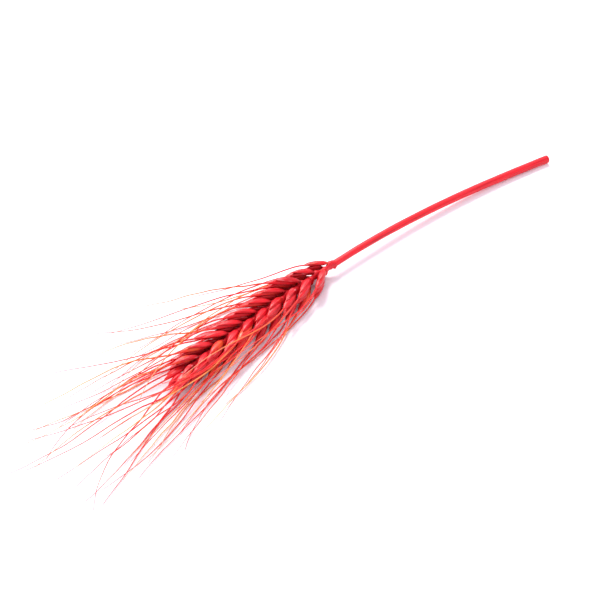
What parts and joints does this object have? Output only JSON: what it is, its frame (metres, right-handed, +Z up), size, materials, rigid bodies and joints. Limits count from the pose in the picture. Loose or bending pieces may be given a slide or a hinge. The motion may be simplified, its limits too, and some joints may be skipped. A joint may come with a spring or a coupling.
{
  "type": "wheat ear",
  "caption": "Dried red-dyed bearded wheat ear on its straw, lying on its side, with a herringbone of pointed, awned husks; for dried bouquets and still lifes.",
  "frame": {"origin": "centre of the bounding box at the surface that the ear lies on", "axes": "+X along the stalk towards the cut end of the straw, so the ear's tip and awns point to -X; +Z up from the surface"},
  "size_m": [0.2384, 0.053, 0.0272],
  "materials": {
    "dyed_ear": "satin",
    "dyed_stem": "satin"
  },
  "bodies": {
    "root": {"ear": "dyed_ear", "stem": "dyed_stem"}
  },
  "joints": []
}
